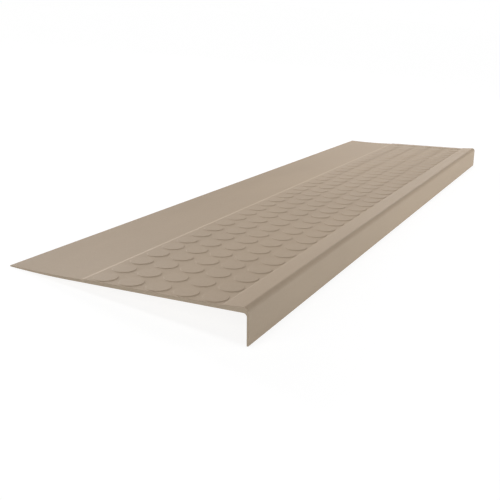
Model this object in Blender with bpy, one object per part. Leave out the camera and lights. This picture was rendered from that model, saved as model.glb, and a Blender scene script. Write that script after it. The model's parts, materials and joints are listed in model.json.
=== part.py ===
"""A moulded rubber stair tread with a hanging nose lip and a field of raised round studs.

The tread is one piece. Its section is drawn with the glued underside level at z = 0,
the nose face on y = 0 and the back edge towards +Y, and it is extruded along X. The
studs are joined to it, and the whole is then leaned onto its lip and its back edge,
the way it stands unheld on a floor. Lengths are in metres.
"""

import math

import bmesh
import bpy

# Outer size of the tread as it is fitted on a step
TREAD_LENGTH = 1.2192
TREAD_DEPTH = 0.31115
NOSE_HEIGHT = 0.0413

# Thickness of the rubber from front to back, measured up from the underside
NOSE_THICKNESS = 0.00635
STUD_TOP_THICKNESS = 0.0050
BACK_STRIP_THICKNESS = 0.0035
BACK_EDGE_THICKNESS = 0.0014
LIP_THICKNESS = 0.0020

# Rounded corners of the nose, outside and inside, and the eased lower end of the lip
NOSE_RADIUS = 0.0060
NOSE_INNER_RADIUS = 0.0040
LIP_END_CHAMFER = 0.0005

# Bands of the top face, counted back from the nose: a smooth strip, a steep ramp down
# to the field of studs, a gentle ramp down from it, and a smooth back strip. The front
# ramp lies within the field's depth, and the back ramp behind it
NOSE_STRIP_DEPTH = 0.0286
FIELD_DEPTH = 0.1740
FRONT_RAMP_DEPTH = 0.0012
BACK_RAMP_DEPTH = 0.0056

# The back strip lies flat at first and then springs up a little towards its edge
FLAT_BEHIND_FIELD = 0.0148
BACK_CURL_RADIUS = 1.200

# Raised round studs in a square grid
STUD_DIAMETER = 0.028575
STUD_GAP = 0.00635
STUD_HEIGHT = 0.000635
STUD_SIDE_TAPER = 0.00035
STUD_EMBED = 0.0008
STUD_END_MARGIN = 0.0010
STUD_SIDES = 16

# Steps in which the curved stretches of the section are drawn
NOSE_ARC_STEPS = 8
INNER_ARC_STEPS = 6
CURL_STEPS = 8

MERGE_DISTANCE = 0.000005
SMOOTH_ANGLE = math.radians(30.0)

RUBBER_COLOUR = (0.41, 0.34, 0.26, 1.0)
RUBBER_ROUGHNESS = 0.55

LIP_END = NOSE_THICKNESS - NOSE_HEIGHT
FIELD_FLOOR = STUD_TOP_THICKNESS - STUD_HEIGHT
FIELD_END = NOSE_STRIP_DEPTH + FIELD_DEPTH
BACK_STRIP_START = FIELD_END + BACK_RAMP_DEPTH
CURL_START = BACK_STRIP_START + FLAT_BEHIND_FIELD


def clear_scene():
    for old in list(bpy.data.objects):
        bpy.data.objects.remove(old, do_unlink=True)


def new_collection(name):
    collection = bpy.data.collections.new(name)
    bpy.context.scene.collection.children.link(collection)
    return collection


def rubber_material():
    material = bpy.data.materials.new("taupe_rubber")
    material.use_nodes = True
    shader = material.node_tree.nodes["Principled BSDF"]
    shader.inputs["Base Color"].default_value = RUBBER_COLOUR
    shader.inputs["Roughness"].default_value = RUBBER_ROUGHNESS
    shader.inputs["Metallic"].default_value = 0.0
    material.diffuse_color = RUBBER_COLOUR
    return material


def arc_points(centre, radius, start, end, steps):
    """Points on an arc of the section, its angles in degrees from +Y towards +Z."""
    points = []
    for step in range(steps + 1):
        angle = math.radians(start + (end - start) * step / steps)
        y = centre[0] + radius * math.cos(angle)
        z = centre[1] + radius * math.sin(angle)
        points.append((y, z))
    return points


def curl_rise(y):
    """Height that the springing back strip has gained at a distance y from the nose."""
    past_start = max(0.0, y - CURL_START)
    return past_start * past_start / (2.0 * BACK_CURL_RADIUS)


def back_thickness(y):
    """Thickness of the back strip, which tapers evenly to its edge."""
    share = (y - BACK_STRIP_START) / (TREAD_DEPTH - BACK_STRIP_START)
    return BACK_STRIP_THICKNESS + share * (BACK_EDGE_THICKNESS - BACK_STRIP_THICKNESS)


def curl_stations():
    """Distances from the nose at which the curling stretch is drawn."""
    curl_length = TREAD_DEPTH - CURL_START
    return [CURL_START + curl_length * step / CURL_STEPS for step in range(CURL_STEPS + 1)]


def tread_section():
    """Outline of the section as (y, z) points, from the lip's end over the top and back."""
    outline = [(LIP_END_CHAMFER, LIP_END), (0.0, LIP_END + LIP_END_CHAMFER)]
    nose_centre = (NOSE_RADIUS, NOSE_THICKNESS - NOSE_RADIUS)
    outline += arc_points(nose_centre, NOSE_RADIUS, 180.0, 90.0, NOSE_ARC_STEPS)
    outline += [(NOSE_STRIP_DEPTH, STUD_TOP_THICKNESS)]
    outline += [(NOSE_STRIP_DEPTH + FRONT_RAMP_DEPTH, FIELD_FLOOR), (FIELD_END, FIELD_FLOOR)]
    outline += [(BACK_STRIP_START, BACK_STRIP_THICKNESS)]
    outline += [(y, back_thickness(y) + curl_rise(y)) for y in curl_stations()]
    outline += [(y, curl_rise(y)) for y in reversed(curl_stations())]
    inner_centre = (LIP_THICKNESS + NOSE_INNER_RADIUS, -NOSE_INNER_RADIUS)
    outline += arc_points(inner_centre, NOSE_INNER_RADIUS, 90.0, 180.0, INNER_ARC_STEPS)
    outline += [(LIP_THICKNESS, LIP_END)]
    return outline


def mesh_from_curve(drawing, name):
    """Turn an extruded flat curve into a closed mesh object at the same place."""
    evaluated = drawing.evaluated_get(bpy.context.evaluated_depsgraph_get())
    mesh = bpy.data.meshes.new_from_object(evaluated)
    work = bmesh.new()
    work.from_mesh(mesh)
    bmesh.ops.remove_doubles(work, verts=work.verts, dist=MERGE_DISTANCE)
    bmesh.ops.recalc_face_normals(work, faces=work.faces)
    work.to_mesh(mesh)
    work.free()
    piece = bpy.data.objects.new(name, mesh)
    piece.matrix_world = drawing.matrix_world.copy()
    bpy.data.objects.remove(drawing, do_unlink=True)
    return piece


def extruded_section(collection):
    """The tread without its studs: the section run along the whole length."""
    curve = bpy.data.curves.new("tread_section", "CURVE")
    curve.dimensions = "2D"
    curve.fill_mode = "BOTH"
    curve.extrude = TREAD_LENGTH / 2.0
    outline = tread_section()
    spline = curve.splines.new("POLY")
    spline.points.add(len(outline) - 1)
    for point, (y, z) in zip(spline.points, outline):
        point.co = (y, z, 0.0, 1.0)
    spline.use_cyclic_u = True
    drawing = bpy.data.objects.new("tread_section", curve)
    collection.objects.link(drawing)
    # The curve's own X, Y and Z become the tread's Y, Z and X
    drawing.rotation_euler = (math.radians(90.0), 0.0, math.radians(90.0))
    bpy.context.view_layer.update()
    tread = mesh_from_curve(drawing, "stair_tread")
    collection.objects.link(tread)
    return tread


def stud_centres(first, last):
    """Places of the studs that fit between two limits, spread evenly about their middle."""
    pitch = STUD_DIAMETER + STUD_GAP
    count = int((last - first + STUD_GAP) / pitch)
    middle = (first + last) / 2.0
    return [middle + pitch * (index - (count - 1) / 2.0) for index in range(count)]


def stud_field(collection):
    """All the studs as tapered discs whose feet reach into the field's floor."""
    foot_radius = STUD_DIAMETER / 2.0 + STUD_EMBED * STUD_SIDE_TAPER / STUD_HEIGHT
    top_radius = STUD_DIAMETER / 2.0 - STUD_SIDE_TAPER
    middle_height = FIELD_FLOOR + (STUD_HEIGHT - STUD_EMBED) / 2.0
    half_length = TREAD_LENGTH / 2.0 - STUD_END_MARGIN
    work = bmesh.new()
    for y in stud_centres(NOSE_STRIP_DEPTH, FIELD_END):
        for x in stud_centres(-half_length, half_length):
            disc = bmesh.ops.create_cone(
                work, cap_ends=True, segments=STUD_SIDES, radius1=foot_radius,
                radius2=top_radius, depth=STUD_HEIGHT + STUD_EMBED)
            bmesh.ops.translate(work, verts=disc["verts"], vec=(x, y, middle_height))
    mesh = bpy.data.meshes.new("stud_field")
    work.to_mesh(mesh)
    work.free()
    studs = bpy.data.objects.new("stud_field", mesh)
    studs.hide_render = True
    studs.display_type = "WIRE"
    collection.objects.link(studs)
    return studs


def join_studs(tread, studs):
    """Make the studs and the tread one body, as they come out of the mould."""
    union = tread.modifiers.new("moulded studs", "BOOLEAN")
    union.operation = "UNION"
    union.solver = "EXACT"
    union.object = studs
    evaluated = tread.evaluated_get(bpy.context.evaluated_depsgraph_get())
    joined = bpy.data.meshes.new_from_object(evaluated)
    tread.modifiers.remove(union)
    tread.data = joined


def finish_surface(tread):
    tread.data.materials.clear()
    tread.data.materials.append(rubber_material())
    tread.data.shade_smooth()
    tread.data.set_sharp_from_angle(angle=SMOOTH_ANGLE)


def leaned(point, angle):
    """Where a (y, z) point of the section goes when the tread leans back by an angle."""
    y, z = point
    leaned_y = y * math.cos(angle) + z * math.sin(angle)
    leaned_z = z * math.cos(angle) - y * math.sin(angle)
    return leaned_y, leaned_z


def resting_pose(collection, pieces):
    """Lean the pieces as the tread stands unheld, with its lip and back edge on z = 0."""
    lip_foot = (LIP_THICKNESS, LIP_END)
    back_foot = (TREAD_DEPTH, curl_rise(TREAD_DEPTH))
    angle = math.atan2(back_foot[1] - lip_foot[1], back_foot[0] - lip_foot[0])
    front = leaned((0.0, LIP_END + LIP_END_CHAMFER), angle)[0]
    back = leaned((TREAD_DEPTH, back_foot[1] + BACK_EDGE_THICKNESS), angle)[0]
    pose = bpy.data.objects.new("resting_pose", None)
    pose.rotation_euler = (-angle, 0.0, 0.0)
    pose.location = (0.0, -(front + back) / 2.0, -leaned(lip_foot, angle)[1])
    collection.objects.link(pose)
    for piece in pieces:
        piece.parent = pose


def main():
    clear_scene()
    parts = new_collection("stair_tread_parts")
    joining_shapes = new_collection("joining_shapes")
    tread = extruded_section(parts)
    studs = stud_field(joining_shapes)
    join_studs(tread, studs)
    finish_surface(tread)
    resting_pose(parts, [tread, studs])


main()
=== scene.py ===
"""The looks of a moulded rubber stair tread: its finished body, its satin rubber, and the light.

The body is modelled with its glued underside level at z = 0, its nose face on y = 0 and
its back edge towards +Y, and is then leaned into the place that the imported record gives.
Lengths are in metres.
"""

import json
import math

import bmesh
import bpy
from mathutils import Matrix, Vector


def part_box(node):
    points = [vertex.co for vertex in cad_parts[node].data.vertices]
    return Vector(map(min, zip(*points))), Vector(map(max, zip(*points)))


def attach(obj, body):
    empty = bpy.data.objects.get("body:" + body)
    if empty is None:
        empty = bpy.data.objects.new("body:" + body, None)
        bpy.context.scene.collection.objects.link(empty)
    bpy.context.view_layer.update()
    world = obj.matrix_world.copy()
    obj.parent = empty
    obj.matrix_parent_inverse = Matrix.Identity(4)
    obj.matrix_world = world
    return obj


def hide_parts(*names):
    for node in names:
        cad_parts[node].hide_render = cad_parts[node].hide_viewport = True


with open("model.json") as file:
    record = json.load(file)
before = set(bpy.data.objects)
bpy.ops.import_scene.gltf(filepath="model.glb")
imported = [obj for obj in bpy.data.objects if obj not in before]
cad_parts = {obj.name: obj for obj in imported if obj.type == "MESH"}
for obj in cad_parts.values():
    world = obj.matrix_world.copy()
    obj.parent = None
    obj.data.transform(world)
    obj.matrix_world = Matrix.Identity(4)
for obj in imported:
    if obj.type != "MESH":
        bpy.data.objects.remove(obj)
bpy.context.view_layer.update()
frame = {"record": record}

# The section, as in the part's source
TREAD_DEPTH = 0.31115
NOSE_HEIGHT = 0.0413
NOSE_THICKNESS = 0.00635
STUD_TOP_THICKNESS = 0.0050
BACK_STRIP_THICKNESS = 0.0035
BACK_EDGE_THICKNESS = 0.0014
LIP_THICKNESS = 0.0020
NOSE_RADIUS = 0.0060
NOSE_INNER_RADIUS = 0.0040
NOSE_STRIP_DEPTH = 0.0286
FIELD_DEPTH = 0.1740
FRONT_RAMP_DEPTH = 0.0012
BACK_RAMP_DEPTH = 0.0056
FLAT_BEHIND_FIELD = 0.0148
BACK_CURL_RADIUS = 1.200

# Studs, as in the part's source
STUD_DIAMETER = 0.028575
STUD_GAP = 0.00635
STUD_HEIGHT = 0.000635
STUD_ROWS = 5
STUD_COLUMNS = 35

# Softened edges that only the finished body has. The sides of a stud are a multiple of 8,
# so that a corner of its square lies beyond a point of its rim
STUD_SIDES = 24
STUD_SIDE_EASE = 0.0006
STUD_RIM_ROUND = 0.00025
STRIP_EDGE_ROUND = 0.0022
LIP_OUTER_ROUND = 0.0005
LIP_INNER_ROUND = 0.00025
BACK_UNDER_ROUND = 0.00025
BACK_TOP_ROUND = 0.0004
CUT_EDGE_ROUND = 0.00015
CUT_EDGE_STEPS = 2

# Steps in which curved stretches are drawn, and the reach within which points are welded
NOSE_ARC_STEPS = 8
INNER_ARC_STEPS = 10
SMALL_ROUND_STEPS = 3
CURL_STEPS = 14
BACK_RAMP_STEPS = 6
MERGE_DISTANCE = 0.00001

LIP_END = NOSE_THICKNESS - NOSE_HEIGHT
FIELD_FLOOR = STUD_TOP_THICKNESS - STUD_HEIGHT
FIELD_START = NOSE_STRIP_DEPTH + FRONT_RAMP_DEPTH
FIELD_END = NOSE_STRIP_DEPTH + FIELD_DEPTH
BACK_STRIP_START = FIELD_END + BACK_RAMP_DEPTH
CURL_START = BACK_STRIP_START + FLAT_BEHIND_FIELD
RAMP_MIDDLE = (FIELD_END + BACK_STRIP_START) / 2.0
STUD_PITCH = STUD_DIAMETER + STUD_GAP
FIRST_ROW = (NOSE_STRIP_DEPTH + FIELD_END - STUD_PITCH * (STUD_ROWS - 1)) / 2.0
FIRST_COLUMN = -STUD_PITCH * (STUD_COLUMNS - 1) / 2.0

# The rubber's colours, which are linear like all colours here, and its finish
RUBBER_PALE = (0.442, 0.345, 0.252, 1.0)
RUBBER_DEEP = (0.402, 0.3135, 0.229, 1.0)
# The paler colour below, with its share and spread, is a painted highlight: the back ramp made paler
# where light from behind would catch its slope
RUBBER_RAMP_HIGHLIGHT = (0.520, 0.410, 0.300, 1.0)
RAMP_HIGHLIGHT_SHARE = 0.50
RAMP_HIGHLIGHT_SPREAD = 0.0015
RUBBER_ROUGHNESS = 0.66
STRIP_SMOOTHER = 0.04
FIELD_FLOOR_ROUGHER = 0.05
FIELD_FLOOR_SHARE = 0.4
CLOUDED_ROUGHNESS = 0.08
RUBBER_GLOSS = 0.15
RUBBER_IOR = 1.5

# Patches of uneven tone and relief on the rubber: their sizes and how much each one counts
NOISE_ROUGHNESS = 0.55
CLOUD_SIZE = 0.14
CLOUD_STRETCH = (0.35, 1.0, 1.0)
CLOUD_RANGE = (0.3, 0.7)
CLOUD_SHARE = 0.75
FLECK_SIZE = 0.0035
FLECK_RANGE = (0.35, 0.65)
FLECK_SHARE = 0.25
GRAIN_SIZE = 0.00045
GRAIN_SHARE = 0.7
GRAIN_STRENGTH = 0.35
GRAIN_DEPTH = 0.00012
SWELL_SIZE = 0.045
SWELL_STRENGTH = 0.25
SWELL_DEPTH = 0.0012

# The studio's floor, a lit table of cool white: what lights the tread from below, and what is seen.
# Where it is seen, it glows nearly white and takes the tread's shadow
FLOOR_COLOUR = (0.78, 0.84, 0.93, 1.0)
TABLE_COLOUR = (0.93, 1.0, 1.0, 1.0)
TABLE_LIGHT = 0.45
SHADOW_TAKING_COLOUR = (0.22, 0.22, 0.22, 1.0)
FLOOR_GLOW = 0.87
FLOOR_SIZE = 60.0
WHITE = (1.0, 1.0, 1.0, 1.0)

# The light of a white studio: an even surround, broad lamps and soft boxes. Angles are in degrees,
# and an azimuth is turned from the back, +Y, towards the far end, +X
SURROUND_STRENGTH = 0.12
LAMP_SPREAD = 20.0
LOW_ELEVATION = 8.0
UPPER_ELEVATION = 28.0
OVERHEAD_ELEVATION = 75.0
BEHIND_STRENGTH = 1.97
BEHIND_AZIMUTH = 30.0
FRONT_STRENGTH = 0.48
FRONT_AZIMUTH = -135.0
OVERHEAD_STRENGTH = 0.82
OVERHEAD_AZIMUTH = 0.0
NEAR_CORNER_STRENGTH = 0.64
NEAR_CORNER_AZIMUTH = -60.0
BOX_SIZE = 0.8
BOX_AIM = (0.25, 0.0, 0.02)
FRONT_BOX_PLACE = (0.45, -1.5, 0.35)
FRONT_BOX_POWER = 10.2
FAR_BEHIND_PLACE = (0.9, 1.6, 0.7)
FAR_BEHIND_POWER = 10.0
FAR_END_PLACE = (2.2, 0.6, 0.4)
FAR_END_POWER = 4.9

# The photograph's viewing angle
CAMERA_PLACE = (-1.20864, -0.41760, 0.33152)
CAMERA_TURN = (70.5094, -6.6841, -63.2176)
CAMERA_LENS = 52.403
CAMERA_SENSOR = 36.0
NEAREST_SEEN = 0.05

# Sockets of a Mix node set to colours
MIX_FIRST = 6
MIX_SECOND = 7
MIX_RESULT = 2


class Shade:
    """One socket of a material's nodes. Arithmetic on it adds the Math nodes it needs."""

    def __init__(self, tree, socket=None):
        self.tree = tree
        self.socket = socket

    def node(self, kind, settings, inputs, output=0):
        """Add a node, set it up, fill or link its sockets, and give one of its results."""
        made = self.tree.nodes.new(kind)
        for name, value in settings.items():
            setattr(made, name, value)
        for key, value in inputs.items():
            if isinstance(value, Shade):
                self.tree.links.new(value.socket, made.inputs[key])
            else:
                made.inputs[key].default_value = value
        return Shade(self.tree, made.outputs[output] if len(made.outputs) else None)

    def maths(self, operation, first, second):
        return self.node("ShaderNodeMath", {"operation": operation}, {0: first, 1: second})

    def __add__(self, other):
        return self.maths("ADD", self, other)

    def __sub__(self, other):
        return self.maths("SUBTRACT", self, other)

    def __mul__(self, other):
        return self.maths("MULTIPLY", self, other)

    def __rsub__(self, other):
        return self.maths("SUBTRACT", other, self)

    __radd__ = __add__
    __rmul__ = __mul__

    def larger(self, other):
        return self.maths("MAXIMUM", self, other)

    def between(self, low, high):
        """A soft step from 0 below low to 1 above high."""
        settings = {"interpolation_type": "SMOOTHSTEP"}
        limits = {"Value": self, "From Min": low, "From Max": high}
        return self.node("ShaderNodeMapRange", settings, limits)

    def mixed(self, first, second):
        """A colour from the first to the second, with this value as the share."""
        settings = {"data_type": "RGBA"}
        colours = {0: self, MIX_FIRST: first, MIX_SECOND: second}
        return self.node("ShaderNodeMix", settings, colours, MIX_RESULT)

    def noise(self, size, detail, stretch=(1.0, 1.0, 1.0)):
        """Even noise about 0.5 at this place, in patches of a size in metres."""
        scaled = self.node("ShaderNodeMapping", {}, {"Vector": self, "Scale": stretch})
        inputs = {"Vector": scaled, "Scale": 1.0 / size, "Detail": detail, "Roughness": NOISE_ROUGHNESS}
        return self.node("ShaderNodeTexNoise", {}, inputs)


def new_material(name):
    material = bpy.data.materials.new(name)
    material.use_nodes = True
    material.node_tree.nodes.clear()
    return material, Shade(material.node_tree)


def section_frame():
    """Where the section's own axes lie in the row frame, from the record's flat faces."""
    mounts = {mount["name"]: mount for mount in frame["record"]["mounts"]}
    underside = mounts["underside_glue_face"]
    lip = mounts["lip_inner_face"]
    up = -Vector(underside["axis"])
    back = Vector(lip["axis"])
    along = back.cross(up)
    lip_distance = back.dot(Vector(lip["pos_m"])) - LIP_THICKNESS
    place = up * up.dot(Vector(underside["pos_m"])) + back * lip_distance
    matrix = Matrix((along, back, up)).transposed().to_4x4()
    matrix.translation = place
    return matrix


SECTION_FRAME = section_frame()


def rubber_material():
    """Satin taupe rubber: grained and faintly clouded, with smoother tops and a painted highlight along
    the back ramp.
    """
    material, shade = new_material("satin_taupe_rubber")
    place = shade.node("ShaderNodeTexCoord", {}, {}, "Object")
    lean = SECTION_FRAME.inverted().to_euler()
    turned = {"Vector": place, "Rotation": lean, "Location": SECTION_FRAME.inverted().translation}
    local = shade.node("ShaderNodeMapping", {"vector_type": "POINT"}, turned)
    depth = shade.node("ShaderNodeSeparateXYZ", {}, {"Vector": local}, "Y")
    height = shade.node("ShaderNodeSeparateXYZ", {}, {"Vector": local}, "Z")

    clouds = local.noise(CLOUD_SIZE, 3.0, CLOUD_STRETCH)
    flecks = local.noise(FLECK_SIZE, 2.0)
    grain = local.noise(GRAIN_SIZE, 2.0)
    swell = local.noise(SWELL_SIZE, 1.0)

    tone = clouds.between(*CLOUD_RANGE) * CLOUD_SHARE + flecks.between(*FLECK_RANGE) * FLECK_SHARE
    # Painted highlight: a paler band along the back ramp, made uneven by the clouds, standing in for
    # light from behind on its slope
    ramp_front = depth.between(FIELD_END - RAMP_HIGHLIGHT_SPREAD, RAMP_MIDDLE)
    ramp_back = 1.0 - depth.between(RAMP_MIDDLE, BACK_STRIP_START + RAMP_HIGHLIGHT_SPREAD)
    painted_ramp_highlight = ramp_front * ramp_back * (0.5 + clouds) * RAMP_HIGHLIGHT_SHARE
    colour = painted_ramp_highlight.mixed(tone.mixed(RUBBER_DEEP, RUBBER_PALE), RUBBER_RAMP_HIGHLIGHT)
    top = height.between(FIELD_FLOOR + STUD_HEIGHT * FIELD_FLOOR_SHARE, STUD_TOP_THICKNESS)
    strip = 1.0 - depth.between(NOSE_STRIP_DEPTH - STRIP_EDGE_ROUND, FIELD_START)
    roughness = RUBBER_ROUGHNESS + FIELD_FLOOR_ROUGHER * (1.0 - top) - STRIP_SMOOTHER * strip
    roughness = roughness + CLOUDED_ROUGHNESS * (clouds - 0.5)

    relief = grain * GRAIN_SHARE + flecks * (1.0 - GRAIN_SHARE)
    fine = {"Height": relief, "Strength": GRAIN_STRENGTH, "Distance": GRAIN_DEPTH}
    fine_normal = shade.node("ShaderNodeBump", {}, fine)
    broad = {"Height": swell, "Strength": SWELL_STRENGTH, "Distance": SWELL_DEPTH, "Normal": fine_normal}
    normal = shade.node("ShaderNodeBump", {}, broad)

    finish = {"Base Color": colour, "Roughness": roughness, "Normal": normal, "IOR": RUBBER_IOR}
    finish["Specular IOR Level"] = RUBBER_GLOSS
    surface = shade.node("ShaderNodeBsdfPrincipled", {}, finish)
    shade.node("ShaderNodeOutputMaterial", {}, {"Surface": surface})
    return material


def arc_points(centre, radius, start, end, steps):
    """Points on an arc of the section, its angles in degrees from +Y towards +Z."""
    points = []
    for step in range(steps + 1):
        angle = math.radians(start + (end - start) * step / steps)
        points.append((centre[0] + radius * math.cos(angle), centre[1] + radius * math.sin(angle)))
    return points


def rounded_corner(before, corner, after, radius):
    """The corner of an outline as an arc that runs smoothly into its two sides."""
    corner = Vector(corner)
    side_in = (Vector(before) - corner).normalized()
    side_out = (Vector(after) - corner).normalized()
    half_angle = side_in.angle(side_out) / 2.0
    centre = corner + (side_in + side_out).normalized() * radius / math.sin(half_angle)
    tangent = radius / math.tan(half_angle)
    first = corner + side_in * tangent - centre
    turn = first.angle_signed(corner + side_out * tangent - centre)
    points = []
    for step in range(SMALL_ROUND_STEPS + 1):
        turned = first.copy()
        turned.rotate(Matrix.Rotation(-turn * step / SMALL_ROUND_STEPS, 2))
        points.append(tuple(centre + turned))
    return points


def curl_rise(y):
    """Height that the springing back strip has gained at a distance y from the nose."""
    past_start = max(0.0, y - CURL_START)
    return past_start * past_start / (2.0 * BACK_CURL_RADIUS)


def back_top(y):
    """Height of the back strip's top face, as the strip tapers and springs up."""
    share = (y - BACK_STRIP_START) / (TREAD_DEPTH - BACK_STRIP_START)
    thickness = BACK_STRIP_THICKNESS + share * (BACK_EDGE_THICKNESS - BACK_STRIP_THICKNESS)
    return thickness + curl_rise(y)


def curl_stations():
    """Distances from the nose at which the curling stretch is drawn, its edge left out."""
    curl_length = TREAD_DEPTH - CURL_START
    return [CURL_START + curl_length * step / CURL_STEPS for step in range(CURL_STEPS)]


def back_ramp():
    """The eased ramp from the flat back strip up to the floor of the field."""
    points = []
    for step in range(BACK_RAMP_STEPS + 1):
        share = step / BACK_RAMP_STEPS
        eased = share * share * (3.0 - 2.0 * share)
        rise = (FIELD_FLOOR - BACK_STRIP_THICKNESS) * eased
        points.append((BACK_STRIP_START - BACK_RAMP_DEPTH * share, BACK_STRIP_THICKNESS + rise))
    return points


def smooth_outline():
    """The section from the field's front over the nose, round underneath and back to the field."""
    stations = curl_stations()
    field_front = (FIELD_START, FIELD_FLOOR)
    strip_edge = (NOSE_STRIP_DEPTH, STUD_TOP_THICKNESS)
    nose_centre = (NOSE_RADIUS, NOSE_THICKNESS - NOSE_RADIUS)
    nose = arc_points(nose_centre, NOSE_RADIUS, 90.0, 180.0, NOSE_ARC_STEPS)
    inner_centre = (LIP_THICKNESS + NOSE_INNER_RADIUS, -NOSE_INNER_RADIUS)
    inner = arc_points(inner_centre, NOSE_INNER_RADIUS, 180.0, 90.0, INNER_ARC_STEPS)
    lip_front = (0.0, LIP_END)
    lip_back = (LIP_THICKNESS, LIP_END)
    under = [(y, curl_rise(y)) for y in stations]
    over = [(y, back_top(y)) for y in reversed(stations)]
    under_edge = (TREAD_DEPTH, curl_rise(TREAD_DEPTH))
    over_edge = (TREAD_DEPTH, back_top(TREAD_DEPTH))

    outline = [field_front]
    outline += rounded_corner(field_front, strip_edge, nose[0], STRIP_EDGE_ROUND)
    outline += nose
    outline += rounded_corner(nose[-1], lip_front, lip_back, LIP_OUTER_ROUND)
    outline += rounded_corner(lip_front, lip_back, inner[0], LIP_INNER_ROUND)
    outline += inner + under
    outline += rounded_corner(under[-1], under_edge, over_edge, BACK_UNDER_ROUND)
    outline += rounded_corner(under_edge, over_edge, over[0], BACK_TOP_ROUND)
    outline += over + back_ramp()
    return outline


def verts_of(geometry):
    return [part for part in geometry if isinstance(part, bmesh.types.BMVert)]


def drawn_out(work, edges):
    """Extrude a row of edges and give its new points and edges, still in their old place."""
    made = bmesh.ops.extrude_edge_only(work, edges=edges)["geom"]
    verts = verts_of(made)
    fresh = set(verts)
    made_edges = [part for part in made if isinstance(part, bmesh.types.BMEdge)]
    row = [edge for edge in made_edges if fresh.issuperset(edge.verts)]
    return verts, row


def onto_square(vert, half):
    """Push a point of the stud's skirt straight out to the edge of its square."""
    reach = max(abs(vert.co.x), abs(vert.co.y))
    vert.co.x *= half / reach
    vert.co.y *= half / reach


def stud_on_square(work):
    """One stud: a flat top, rings drawn out and down from it, and a square of floor."""
    foot_radius = STUD_DIAMETER / 2.0
    rim_radius = foot_radius - STUD_SIDE_EASE
    rim_height = STUD_TOP_THICKNESS - STUD_RIM_ROUND
    radius = rim_radius - STUD_RIM_ROUND
    height = STUD_TOP_THICKNESS
    disc = bmesh.ops.create_circle(work, cap_ends=True, segments=STUD_SIDES, radius=radius)
    bmesh.ops.translate(work, verts=disc["verts"], vec=(0.0, 0.0, height))
    row = work.edges[:]
    for next_radius, next_height in ((rim_radius, rim_height), (foot_radius, FIELD_FLOOR)):
        verts, row = drawn_out(work, row)
        spread = next_radius / radius
        bmesh.ops.scale(work, verts=verts, vec=(spread, spread, 1.0))
        bmesh.ops.translate(work, verts=verts, vec=(0.0, 0.0, next_height - height))
        radius = next_radius
        height = next_height
    verts, row = drawn_out(work, row)
    for vert in verts:
        onto_square(vert, STUD_PITCH / 2.0)


def fit_to_field(work, half_length):
    """Bring the sides of the sheet of studs to the ends of the tread and to its two ramps."""
    half_sheet = STUD_PITCH * STUD_COLUMNS / 2.0
    sheet_front = FIRST_ROW - STUD_PITCH / 2.0
    sheet_back = sheet_front + STUD_PITCH * STUD_ROWS
    for vert in work.verts:
        if abs(vert.co.x) > half_sheet - MERGE_DISTANCE:
            vert.co.x = math.copysign(half_length, vert.co.x)
        if vert.co.y < sheet_front + MERGE_DISTANCE:
            vert.co.y = FIELD_START
        if vert.co.y > sheet_back - MERGE_DISTANCE:
            vert.co.y = FIELD_END


def stud_field(work, half_length):
    """The field: one stud repeated in rows and columns, welded where its squares meet."""
    stud_on_square(work)
    pattern = work.verts[:] + work.edges[:] + work.faces[:]
    for row in range(STUD_ROWS):
        for column in range(STUD_COLUMNS):
            copy = bmesh.ops.duplicate(work, geom=pattern)["geom"]
            place = (FIRST_COLUMN + STUD_PITCH * column, FIRST_ROW + STUD_PITCH * row, 0.0)
            bmesh.ops.translate(work, verts=verts_of(copy), vec=place)
    bmesh.ops.delete(work, geom=verts_of(pattern), context="VERTS")
    bmesh.ops.remove_doubles(work, verts=work.verts, dist=MERGE_DISTANCE)
    fit_to_field(work, half_length)


def run_round_section(work):
    """Draw the field's front edge out round the nose, lip, underside and back, and weld it."""
    outline = smooth_outline()
    row = [edge for edge in work.edges
           if all(abs(vert.co.y - FIELD_START) < MERGE_DISTANCE for vert in edge.verts)]
    for here, there in zip(outline, outline[1:]):
        verts, row = drawn_out(work, row)
        bmesh.ops.translate(work, verts=verts, vec=(0.0, there[0] - here[0], there[1] - here[1]))
    bmesh.ops.remove_doubles(work, verts=work.verts, dist=MERGE_DISTANCE)


def close_cut_ends(work):
    """Fill the two ends where the tread is cut to length, and take off their sharp edges."""
    open_edges = [edge for edge in work.edges if edge.is_boundary]
    ends = bmesh.ops.holes_fill(work, edges=open_edges, sides=0)["faces"]
    bmesh.ops.recalc_face_normals(work, faces=work.faces)
    rims = list({edge for face in ends for edge in face.edges})
    bmesh.ops.bevel(work, geom=rims, offset=CUT_EDGE_ROUND, offset_type="OFFSET",
                    segments=CUT_EDGE_STEPS, profile=0.5, affect="EDGES", material=-1)


def tread_body(material):
    """The whole tread as one closed skin, in its place in the row frame."""
    low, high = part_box("stair_tread")
    work = bmesh.new()
    stud_field(work, (high.x - low.x) / 2.0)
    run_round_section(work)
    close_cut_ends(work)
    bmesh.ops.recalc_face_normals(work, faces=work.faces)
    bmesh.ops.transform(work, matrix=SECTION_FRAME, verts=work.verts)
    mesh = bpy.data.meshes.new("tread_body")
    work.to_mesh(mesh)
    work.free()
    mesh.shade_smooth()
    mesh.materials.append(material)
    body = bpy.data.objects.new("tread_body", mesh)
    bpy.context.scene.collection.objects.link(body)
    evened = body.modifiers.new("flat faces stay flat", "WEIGHTED_NORMAL")
    evened.keep_sharp = True
    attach(body, "root")
    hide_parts("stair_tread")
    return body


def seen_ray(shade):
    """1 on the rays that show a thing itself or its reflection, and 0 on those that light others."""
    path = "ShaderNodeLightPath"
    camera = shade.node(path, {}, {}, "Is Camera Ray")
    glossy = shade.node(path, {}, {}, "Is Glossy Ray")
    clear = shade.node(path, {}, {}, "Is Transmission Ray")
    return camera.larger(glossy).larger(clear)


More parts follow.
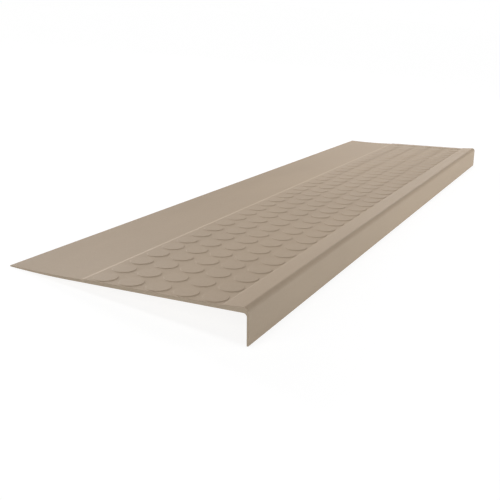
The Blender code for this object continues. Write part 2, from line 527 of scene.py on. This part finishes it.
def floor_material():
    """A pale lit table that is seen as white and still keeps the tread's shadow."""
    material, shade = new_material("white_studio_floor")
    paint = shade.node("ShaderNodeBsdfDiffuse", {}, {"Color": FLOOR_COLOUR})
    table = shade.node("ShaderNodeEmission", {}, {"Color": TABLE_COLOUR, "Strength": TABLE_LIGHT})
    lit = shade.node("ShaderNodeAddShader", {}, {0: paint, 1: table})
    shadowed = shade.node("ShaderNodeBsdfDiffuse", {}, {"Color": SHADOW_TAKING_COLOUR})
    glow = shade.node("ShaderNodeEmission", {}, {"Color": WHITE, "Strength": FLOOR_GLOW})
    white = shade.node("ShaderNodeAddShader", {}, {0: shadowed, 1: glow})
    surface = shade.node("ShaderNodeMixShader", {}, {0: seen_ray(shade), 1: lit, 2: white})
    shade.node("ShaderNodeOutputMaterial", {}, {"Surface": surface})
    material.cycles.emission_sampling = "NONE"
    return material


def studio_floor():
    work = bmesh.new()
    bmesh.ops.create_grid(work, x_segments=1, y_segments=1, size=FLOOR_SIZE / 2.0)
    mesh = bpy.data.meshes.new("studio_floor")
    work.to_mesh(mesh)
    work.free()
    mesh.materials.append(floor_material())
    floor = bpy.data.objects.new("studio_floor", mesh)
    bpy.context.scene.collection.objects.link(floor)


def studio_surround():
    """The white room: seen as white, and lighting the tread evenly at a plain level."""
    world = bpy.data.worlds.new("studio_surround")
    bpy.context.scene.world = world
    world.use_nodes = True
    world.node_tree.nodes.clear()
    shade = Shade(world.node_tree)
    even = (SURROUND_STRENGTH, SURROUND_STRENGTH, SURROUND_STRENGTH, 1.0)
    colour = seen_ray(shade).mixed(even, WHITE)
    background = shade.node("ShaderNodeBackground", {}, {"Color": colour, "Strength": 1.0})
    shade.node("ShaderNodeOutputWorld", {}, {"Surface": background})
    world.cycles.sampling_method = "NONE"


def hung_lamp(name, lamp, place, towards):
    """Hang a lamp at a place, with its light going the opposite way to a direction."""
    stand = bpy.data.objects.new(name, lamp)
    stand.location = place
    stand.rotation_euler = towards.to_track_quat("Z", "Y").to_euler()
    bpy.context.scene.collection.objects.link(stand)


def broad_lamp(name, strength, elevation, azimuth):
    """A far, wide lamp seen at an elevation and an azimuth turned from +Y to +X."""
    lamp = bpy.data.lights.new(name, "SUN")
    lamp.energy = strength
    lamp.angle = math.radians(LAMP_SPREAD)
    rise = math.radians(elevation)
    turn = math.radians(azimuth)
    level = math.cos(rise)
    towards = Vector((math.sin(turn) * level, math.cos(turn) * level, math.sin(rise)))
    hung_lamp(name, lamp, (0.0, 0.0, 0.0), towards)


def soft_box(name, power, place):
    """A square soft box near the tread, turned to it."""
    lamp = bpy.data.lights.new(name, "AREA")
    lamp.shape = "SQUARE"
    lamp.size = BOX_SIZE
    lamp.energy = power
    hung_lamp(name, lamp, place, Vector(place) - Vector(BOX_AIM))


def studio_lamps():
    broad_lamp("low_behind", BEHIND_STRENGTH, LOW_ELEVATION, BEHIND_AZIMUTH)
    broad_lamp("low_front", FRONT_STRENGTH, LOW_ELEVATION, FRONT_AZIMUTH)
    broad_lamp("overhead", OVERHEAD_STRENGTH, OVERHEAD_ELEVATION, OVERHEAD_AZIMUTH)
    broad_lamp("near_corner", NEAR_CORNER_STRENGTH, UPPER_ELEVATION, NEAR_CORNER_AZIMUTH)
    soft_box("front_box", FRONT_BOX_POWER, FRONT_BOX_PLACE)
    soft_box("far_behind_box", FAR_BEHIND_POWER, FAR_BEHIND_PLACE)
    soft_box("far_end_box", FAR_END_POWER, FAR_END_PLACE)


def viewing_camera():
    """The camera at the photograph's angle."""
    lens = bpy.data.cameras.new("viewing_camera")
    lens.sensor_width = CAMERA_SENSOR
    lens.lens = CAMERA_LENS
    lens.clip_start = NEAREST_SEEN
    lens.clip_end = 2.0 * FLOOR_SIZE
    camera = bpy.data.objects.new("viewing_camera", lens)
    camera.location = CAMERA_PLACE
    camera.rotation_euler = [math.radians(turn) for turn in CAMERA_TURN]
    bpy.context.scene.collection.objects.link(camera)
    bpy.context.scene.camera = camera


def main():
    bpy.context.scene.view_settings.view_transform = "Standard"
    tread_body(rubber_material())
    studio_floor()
    studio_surround()
    studio_lamps()
    viewing_camera()
    bpy.context.view_layer.update()


main()
